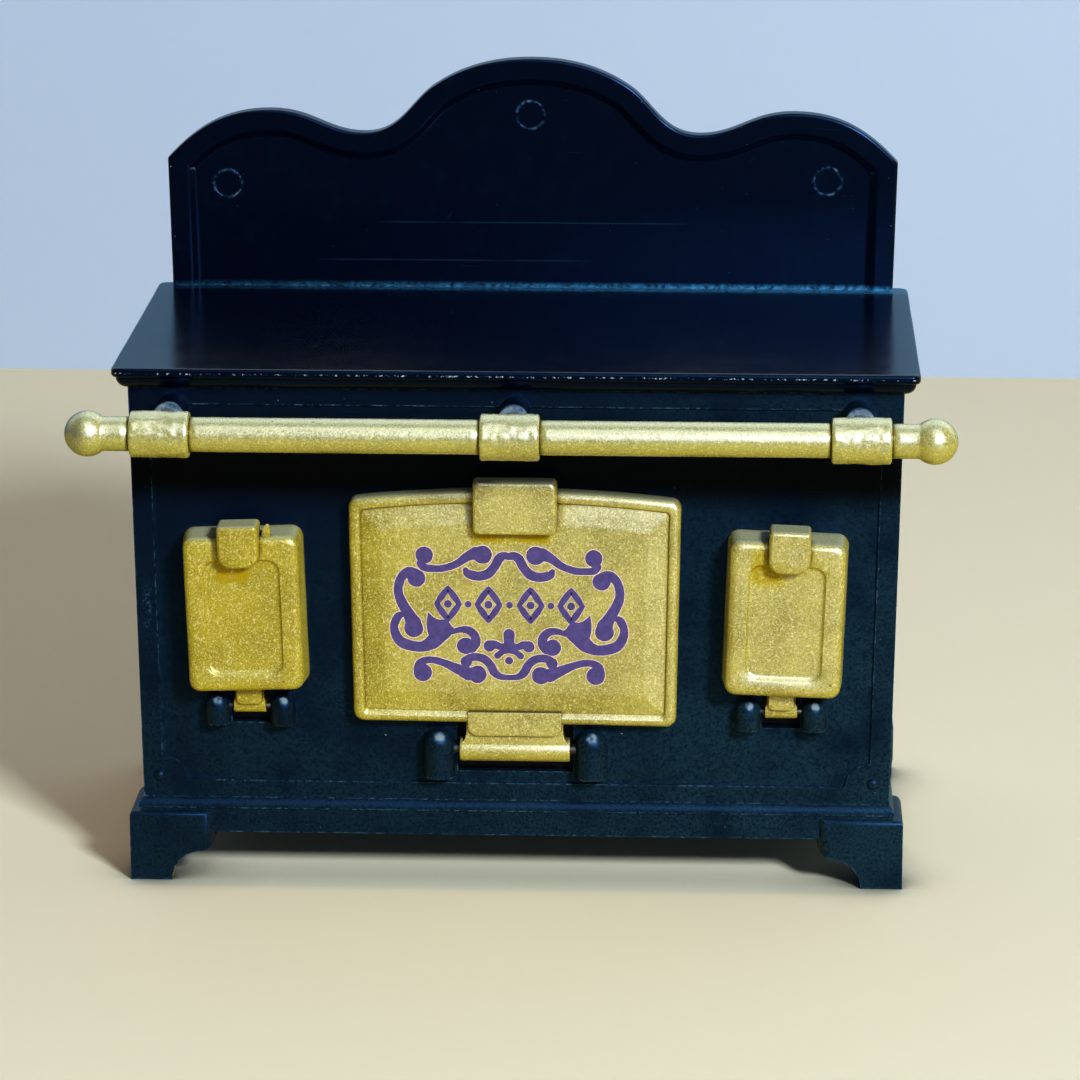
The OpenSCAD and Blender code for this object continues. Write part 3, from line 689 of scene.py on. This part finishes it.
def oven_door():
    s = Shape()
    front, back, edge, step = -1.75, 0.25, 0.6, 0.3
    # Inset, corner radius, lowering of the foot, and y
    steps = [(1.5, 0.6, 0, -0.65), (1.5, 0.6, 0, back - 0.06), (1.42, 0.65, 0, back), (0.1, 0.9, 0, back),
             (0, 1.0, 0, back - 0.1)]
    steps += [(edge * (1 - cos), 1 - edge * (1 - cos) * 0.8, 0, front + edge * (1 - sin))
              for cos, sin in quarter(6)]
    steps += [(0.93, 0.45, 0.22, front), (1.0, 0.42, 0.24, front + 0.03), (1.07, 0.4, 0.2, front + 0.1),
              (1.12, 0.4, 0.02, front + step - 0.04), (1.17, 0.38, 0, front + step + 0.02),
              (1.3, 0.35, 0, front + step - 0.02), (2.0, 0.33, 0, front + 0.155),
              (3.05, 0.32, 0, front - 0.03), (3.3, 0.32, 0, front - 0.05)]
    rings = [flat(oven_outline(inset, r, low), y) for inset, r, low, y in steps]
    s.loft(wavy(rings[:-1], 3.0, 0.022, 1.0) + rings[-1:])
    # Pull
    pull = [flat(round_rect(0.05, 38.9, 7.95 - 2 * d, 5.1 - 2 * d, 0.55, 12, 8), y)
            for y, d in ((-1.2, -0.13), (-2.2, -0.1), (-2.88, -0.04), (-3.0, 0.0), (-3.08, 0.06),
                         (-3.13, 0.14), (-3.15, 0.24))]
    s.loft(wavy(pull, 2.0, 0.02, 4.0))
    # Web with flared lower corners, tongue and barrel
    web = [(-4.75, 17.9), (-4.75, 15.75), (-4.9, 15.2), (-5.2, 14.8), (-5.2, 13.9), (5.2, 13.9), (5.2, 14.8),
           (4.9, 15.2), (4.75, 15.75), (4.75, 17.9)]
    s.loft([flat(offset(web, d), y) for y, d in ((-0.3, 0.0), (-1.36, 0.0), (-1.43, 0.03), (-1.46, 0.1))])
    tongue = arc(-3.6, 16.6, 1.0, 180, 270, 8) + arc(3.6, 16.6, 1.0, 270, 360, 8)
    tongue = [(-4.6, 18.0)] + tongue + [(4.6, 18.0)]
    s.loft([flat(offset(tongue, d), y)
            for y, d in ((-0.6, 0.0), (-1.76, 0.0), (-1.83, 0.03), (-1.86, 0.12))])
    pin_y, pin_z = OVEN_PIN
    barrel = [[(x, pin_y + r * cos, pin_z + r * sin) for cos, sin in circle(48)]
              for x, r in ((-5.4, 0.56), (-5.4, 1.12), (-5.34, 1.18), (-5.2, 1.2), (-2.6, 1.2), (0, 1.2),
                           (2.6, 1.2), (5.2, 1.2), (5.34, 1.18), (5.4, 1.12), (5.4, 0.56))]
    s.tube(wavy(barrel, 1.6, 0.02, 6.0))
    s.make("oven_door_leaf", "oven_leaf", GOLD, "oven_door")


oven_door()


# Print on the oven door: ornament strokes mirrored about AXIS_X, each (x, z, half width)

AXIS_X = -0.52
TILT = math.radians(-0.6)
FIELD_Y = -1.8
SUNK = 0.03
STEP = 0.0003  # each stroke stands this much higher than the one before
STROKES = [
    [(-8.6, 32.97, 0.33), (-8.26, 32.59, 0.33), (-7.48, 32.48, 0.3), (-6.41, 32.53, 0.3),
     (-5.14, 32.97, 0.32), (-4.07, 33.74, 0.41), (-3.25, 34.1, 0.6)],
    [(-4.22, 32.4, 0.22), (-3.96, 32.04, 0.38), (-3.03, 31.81, 0.41), (-2.06, 32.06, 0.43),
     (-1.39, 32.82, 0.39), (-0.98, 33.58, 0.42), (-0.5, 33.9, 0.35), (0.0, 33.83, 0.29)],
    [(-9.16, 31.87, 0.56), (-9.79, 32.11, 0.42), (-10.42, 31.58, 0.39), (-10.75, 30.72, 0.38),
     (-10.75, 29.86, 0.4), (-10.4, 28.91, 0.45), (-9.88, 28.01, 0.5), (-9.34, 27.0, 0.71)],
    [(-10.42, 27.8, 0.22), (-10.83, 27.55, 0.36), (-11.2, 26.71, 0.34), (-11.09, 25.84, 0.4),
     (-10.57, 25.04, 0.47), (-9.6, 24.65, 0.48), (-8.45, 24.58, 0.48), (-7.43, 25.1, 0.68),
     (-6.69, 25.95, 0.75), (-6.1, 26.33, 0.5), (-5.37, 26.2, 0.22)],
    [(-5.52, 26.1, 0.19), (-4.74, 26.37, 0.26), (-3.96, 26.3, 0.35), (-3.4, 25.84, 0.39),
     (-3.25, 25.09, 0.41), (-3.66, 24.58, 0.48)],
    [(-8.82, 22.23, 0.48), (-8.71, 22.86, 0.37), (-8.08, 23.2, 0.3), (-7.24, 23.2, 0.3),
     (-6.22, 22.9, 0.33), (-5.11, 22.4, 0.45), (-3.99, 21.91, 0.63)],
    [(-4.22, 23.13, 0.48), (-3.81, 23.51, 0.37), (-3.14, 23.62, 0.35), (-2.41, 23.41, 0.37),
     (-1.84, 22.86, 0.37), (-1.47, 22.14, 0.37), (-0.84, 21.68, 0.26), (0.0, 21.6, 0.22)],
    [(-1.91, 24.77, 0.52), (-1.39, 24.9, 0.38), (-0.84, 24.73, 0.28), (0.0, 24.65, 0.5)],
    [(-1.13, 23.81, 0.28), (-0.61, 24.23, 0.25), (0.0, 24.52, 0.42)],
    [(0.0, 25.99, 0.5), (0.0, 25.47, 0.46), (0.0, 24.81, 0.5)],
]
BLOBS = [(-8.23, 33.81, 0.8), (-2.58, 33.97, 0.87), (-9.01, 31.48, 0.82), (-9.29, 26.41, 0.87),
         (-4.25, 24.73, 0.78), (-8.45, 21.94, 0.84), (-3.1, 21.87, 0.84), (-4.18, 23.13, 0.52)]
LEAF = [(-7.86, 27.96), (-7.99, 27.0), (-7.86, 25.95), (-7.34, 25.0), (-6.41, 25.19), (-5.66, 25.86),
        (-5.52, 26.37), (-5.81, 26.94), (-6.22, 27.29), (-6.87, 27.29), (-7.37, 27.52)]
ROW_Z = 28.95
ROW_LOZENGES = (-5.95, -2.0, 2.1, 6.05)
ROW_DOTS = (-3.98, 0.05, 4.08)
LOZENGE = ((0, 1.62), (1.12, 0), (0, -1.62), (-1.12, 0))
ROW_RISE = 0.002
ROW_GROW = 0.6


def tilted(x, z):
    return (AXIS_X + x * math.cos(TILT), z + x * math.sin(TILT))


def slab(s, outline, height):
    """A thin raised patch of ink with the given outline."""
    pts = [tilted(x, z) for x, z in outline]
    s.loft([flat(pts, FIELD_Y + SUNK), flat(pts, FIELD_Y - height)], start=False)


def blob(s, x, z, r, height, grow):
    pts = []
    for cos, sin in circle(28):
        rr = (r + grow) * (1 + 0.05 * noise.noise(Vector((x + cos, z + sin, 3.0)) * 1.3))
        pts.append((x + rr * cos, z + rr * sin))
    slab(s, pts, height)


def stroke(s, points, height, grow):
    line = curve(points, 7)
    left, right = [], []
    for i, p in enumerate(line):
        q0, q1 = line[max(i - 1, 0)], line[min(i + 1, len(line) - 1)]
        d = Vector((q1.x - q0.x, q1.y - q0.y)).normalized()
        half = p.z + grow + 0.025 * noise.noise(Vector((p.x * 2.2, p.y * 2.2, 5.0)))
        left.append(tilted(p.x - d.y * half, p.y + d.x * half))
        right.append(tilted(p.x + d.y * half, p.y - d.x * half))
    rows = [s.ring(flat(left, FIELD_Y + SUNK)), s.ring(flat(left, FIELD_Y - height)),
            s.ring(flat(right, FIELD_Y - height)), s.ring(flat(right, FIELD_Y + SUNK))]
    for a, b in zip(rows, rows[1:]):
        s.bridge(a, b, closed=False)
    for x, z, r in (points[0], points[-1]):
        blob(s, x, z, r, height + 0.0015, grow)


def print_layer(name, material, height, grow):
    s = Shape()
    rise = 0.0
    for side in (1, -1):
        for path in STROKES:
            stroke(s, [(x * side, z, r) for x, z, r in path], height + rise, grow)
            rise += STEP
        for x, z, r in BLOBS:
            blob(s, x * side, z, r, height + rise, grow)
            rise += STEP
        leaf = [(p.x * side, p.y) for p in curve([(*q, 0) for q in LEAF + LEAF[:1]], 4)[:-1]]
        slab(s, offset(leaf, -grow * side), height + rise)
    blob(s, 0, 23.32, 0.33, height, grow)
    # A plain row of open lozenges with a dot in each, and smaller dots between them
    height, grow = height + ROW_RISE, grow * ROW_GROW
    for x in ROW_LOZENGES:
        for a, b in zip(LOZENGE, LOZENGE[1:] + LOZENGE[:1]):
            stroke(s, [(x + a[0], ROW_Z + a[1], 0.2), (x + (a[0] + b[0]) / 2, ROW_Z + (a[1] + b[1]) / 2, 0.3),
                       (x + b[0], ROW_Z + b[1], 0.2)], height, grow)
        blob(s, x, ROW_Z, 0.36, height, grow)
    for x in ROW_DOTS:
        blob(s, x, ROW_Z, 0.3, height, grow)
    s.make(name, "oven_leaf", material, sharp=30)


print_layer("print_underlay", UNDER, 0.012, 0.135)
print_layer("indigo_print", INDIGO, 0.03, 0.055)


# Side doors, modelled on the right and mirrored for the left

SIDE_X = 26.05
SIDE_MID = SIDE_X - 0.05
LEAN = math.radians(1.9)


def lean(x, z):
    dx, dz = x - SIDE_X, z - SIDE_PIN[1]
    return (SIDE_X + dx * math.cos(LEAN) + dz * math.sin(LEAN),
            SIDE_PIN[1] - dx * math.sin(LEAN) + dz * math.cos(LEAN))


def leaning_rect(width, z0, z1, r):
    return [lean(*p) for p in round_rect(SIDE_MID, (z0 + z1) / 2, width, z1 - z0, r, 16, 20)]


def side_outline(inset, r):
    return leaning_rect(11.25 - 2 * inset, 20.35 + inset, 35.9 - inset, r)


def panel_outline(inset, low):
    return leaning_rect(7.45 - 2 * inset, 22.2 + inset - low, 33.6 - inset, 1.2 - inset * 0.6)


def side_door(side, name, node, body):
    s = Shape()
    front, back, edge = -3.6, 0.25, 0.75
    rings = [flat(side_outline(1.2, 0.6), -2.2), flat(side_outline(1.2, 0.6), back - 0.05),
             flat(side_outline(1.14, 0.65), back), flat(side_outline(-0.16, 1.1), back),
             flat(side_outline(-0.25, 1.15), back - 0.08)]
    rings += [flat(side_outline(edge * (1 - cos), 1.05 - 0.5 * edge * (1 - cos)), front + edge * (1 - sin))
              for cos, sin in quarter(6)]
    # The panel's recess: inset, lowering of the foot, and depth
    rings += [flat(panel_outline(inset, low), front + depth)
              for inset, low, depth in ((-0.1, 0.12, 0), (-0.03, 0.14, 0.03), (0.0, 0.1, 0.1),
                                        (0.14, 0.02, 0.27), (0.22, 0, 0.32), (0.4, 0, 0.32))]
    s.loft(wavy(rings[:-1], 2.6, 0.028, 3.0 + side) + rings[-1:])
    # Pull
    cx, half, foot_z, top_z, foot_r, top_r = SIDE_MID + 0.1, 1.975, 33.1, 37.3, 1.3, 0.35
    pull = []
    for y, d in ((-2.0, -0.05), (-4.5, -0.02), (-4.62, 0.02), (-4.74, 0.08), (-4.84, 0.18), (-4.9, 0.33)):
        small = max(top_r - d, 0.02)
        pts = (arc(cx - half + foot_r, foot_z + foot_r, foot_r - d, 180, 270, 8)
               + arc(cx + half - foot_r, foot_z + foot_r, foot_r - d, 270, 360, 8)
               + arc(cx + half - top_r, top_z - top_r, small, 0, 90, 4)
               + arc(cx - half + top_r, top_z - top_r, small, 90, 180, 4))
        pull.append(flat([lean(*q) for q in pts], y))
    s.loft(wavy(pull, 1.6, 0.03, 5.0 + side))
    # Web, tongue and barrel
    web = [(-1.4, 21.2), (-1.4, 19.1), (-1.55, 18.7), (-1.57, 18.1), (1.57, 18.1), (1.55, 18.7), (1.4, 19.1),
           (1.4, 21.2)]
    tongue = arc(-0.65, 19.1, 0.6, 180, 270, 8) + arc(0.65, 19.1, 0.6, 270, 360, 8)
    tongue = [(-1.25, 21.15)] + tongue + [(1.25, 21.15)]
    for outline, steps in ((web, ((-0.25, 0.0), (-1.2, 0.0), (-1.26, 0.03), (-1.28, 0.08))),
                           (tongue, ((-0.8, 0.0), (-1.64, 0.0), (-1.71, 0.04), (-1.74, 0.1)))):
        s.loft([flat([(SIDE_X + x, z) for x, z in offset(outline, d)], y) for y, d in steps])
    pin_y, pin_z = SIDE_PIN
    s.tube([[(SIDE_X + x, pin_y + r * cos, pin_z + r * sin) for cos, sin in circle(40)]
            for x, r in ((-1.575, 0.36), (-1.575, 0.6), (-1.53, 0.64), (-1.45, 0.65), (0, 0.65),
                         (1.45, 0.65), (1.53, 0.64), (1.575, 0.6), (1.575, 0.36))])
    if side < 0:
        # A burr beside the left door's pull
        burr_x, burr_y = 23.9, -2.85
        s.loft([[(burr_x + dx + r * a, burr_y + r * 0.8 * b, z)
                 for a, b in ((-1, -1), (1, -0.8), (0.9, 1), (-1, 0.8))]
                for dx, r, z in ((0.1, 0.62, 34.9), (0.1, 0.5, 35.6), (0.12, 0.4, 36.2), (0.06, 0.3, 36.7),
                                 (-0.02, 0.14, 37.1))])
    s.verts = [(x * side, y, z) for x, y, z in s.verts]
    s.make(name, body, GOLD, node)


side_door(1, "right_door_leaf", "right_door", "right_leaf")
side_door(-1, "left_door_leaf", "left_door", "left_leaf")


# Camera

PHOTO_PIXELS = 1080
FOCAL_PIXELS = 4815.72
SENSOR = 36
CAMERA_DOWN = 14.8776
CAMERA_TURN = 2.3753

cam = bpy.data.cameras.new("camera")
cam.sensor_width = SENSOR
cam.lens = FOCAL_PIXELS / PHOTO_PIXELS * SENSOR
cam.clip_start = 0.01
cam.clip_end = 10
cam_o = bpy.data.objects.new("camera", cam)
cam_o.location = w(21.187, -452.445, 155.353)
cam_o.rotation_euler = (math.radians(90 - CAMERA_DOWN), 0, math.radians(CAMERA_TURN))
bpy.context.collection.objects.link(cam_o)
bpy.context.scene.camera = cam_o


# Surroundings, in metres

STAGE_HALF = 3
WALL_Y = 0.212


def stage_plane(name, loc, tilt, color, near, seen, far, edge, floor):
    """A plane that shows color to the camera and near to the object's diffuse surfaces.

    Reflections of it go from seen to far between the two places in edge, along its own y.
    """
    me = bpy.data.meshes.new(name)
    bm = bmesh.new()
    bmesh.ops.create_grid(bm, x_segments=1, y_segments=1, size=STAGE_HALF)
    bm.to_mesh(me)
    bm.free()
    o = bpy.data.objects.new(name, me)
    o.location = loc
    o.rotation_euler = (tilt, 0, 0)
    bpy.context.collection.objects.link(o)
    p = Paint(name, Roughness=0.8)
    x, y, _ = p.parts(p.pos)
    path = p.add("ShaderNodeLightPath").outputs
    other = p.mix(path["Is Glossy Ray"], near, p.mix(p.rise(y, *edge), seen, far))
    if floor:
        # Painted shadow: darker close under the object
        contact_shadow = p.all(p.crevice(7, shut=0.3), p.rise(y, 0.15, 0.1))
        color = p.mix(contact_shadow, color, (0.004, 0.004, 0.003))
        # A faint warm glow that only the camera sees, with none under the object
        below = p.all(p.band(x, -38, 38, 1.5), p.band(y, FRONT - 2, FRONT + BODY_BACK + 1, 1.5))
        warm = p.mix(p.any(contact_shadow, below), (1.0, 0.42, 0.0), (0, 0, 0))
        p.set("Emission Color", p.mix(path["Is Camera Ray"], (0, 0, 0), warm))
        p.set("Emission Strength", 0.11)
    p.set("Base Color", p.mix(path["Is Camera Ray"], other, color))
    # From behind, a plane doesn't show
    p.set("Alpha", p.math("SUBTRACT", 1.0, p.add("ShaderNodeNewGeometry").outputs["Backfacing"]))
    me.materials.append(p.mat)


stage_plane("floor", (0, 0, 0), 0, (0.62, 0.64, 0.53), (0.95, 0.72, 0.10), (0.45, 0.37, 0.075),
            (0.04, 0.04, 0.03), (-0.15, -0.21), True)
stage_plane("wall", (0, WALL_Y, 0), math.radians(90), (0.34, 0.455, 0.76), (0.36, 0.44, 0.60),
            (0.10, 0.24, 0.50), (0.85, 0.95, 1.0), (0.12, 0.18), False)


def area(name, loc, target, size, power, color, diffuse=True):
    lamp = bpy.data.lights.new(name, "AREA")
    lamp.shape = "RECTANGLE"
    lamp.size, lamp.size_y = size
    lamp.energy = power
    lamp.color = color
    o = bpy.data.objects.new(name, lamp)
    o.location = loc
    o.rotation_euler = (Vector(target) - Vector(loc)).to_track_quat("-Z", "Y").to_euler()
    o.visible_diffuse = diffuse
    bpy.context.collection.objects.link(o)


# The key lights the object; the two large panels only show as soft reflections
area("window", (0.35, -1.2, 0.55), (0, 0, 0.05), (0.8, 0.9), 7.0, (0.80, 0.97, 1.2), False)
area("ceiling", (0.1, -0.55, 0.95), (0, 0, 0.03), (0.7, 0.5), 2.2, (0.85, 0.95, 1.0), False)
area("key", (0.44, -0.76, 0.51), (0, 0, 0.03), (0.16, 0.16), 14.8, (1.0, 1.0, 0.95))
world = bpy.data.worlds.new("world")
world.use_nodes = True
background = world.node_tree.nodes["Background"].inputs
background["Color"].default_value = (0.84, 0.92, 1, 1)
background["Strength"].default_value = 0.13
bpy.context.scene.world = world
bpy.context.scene.view_settings.view_transform = "Standard"
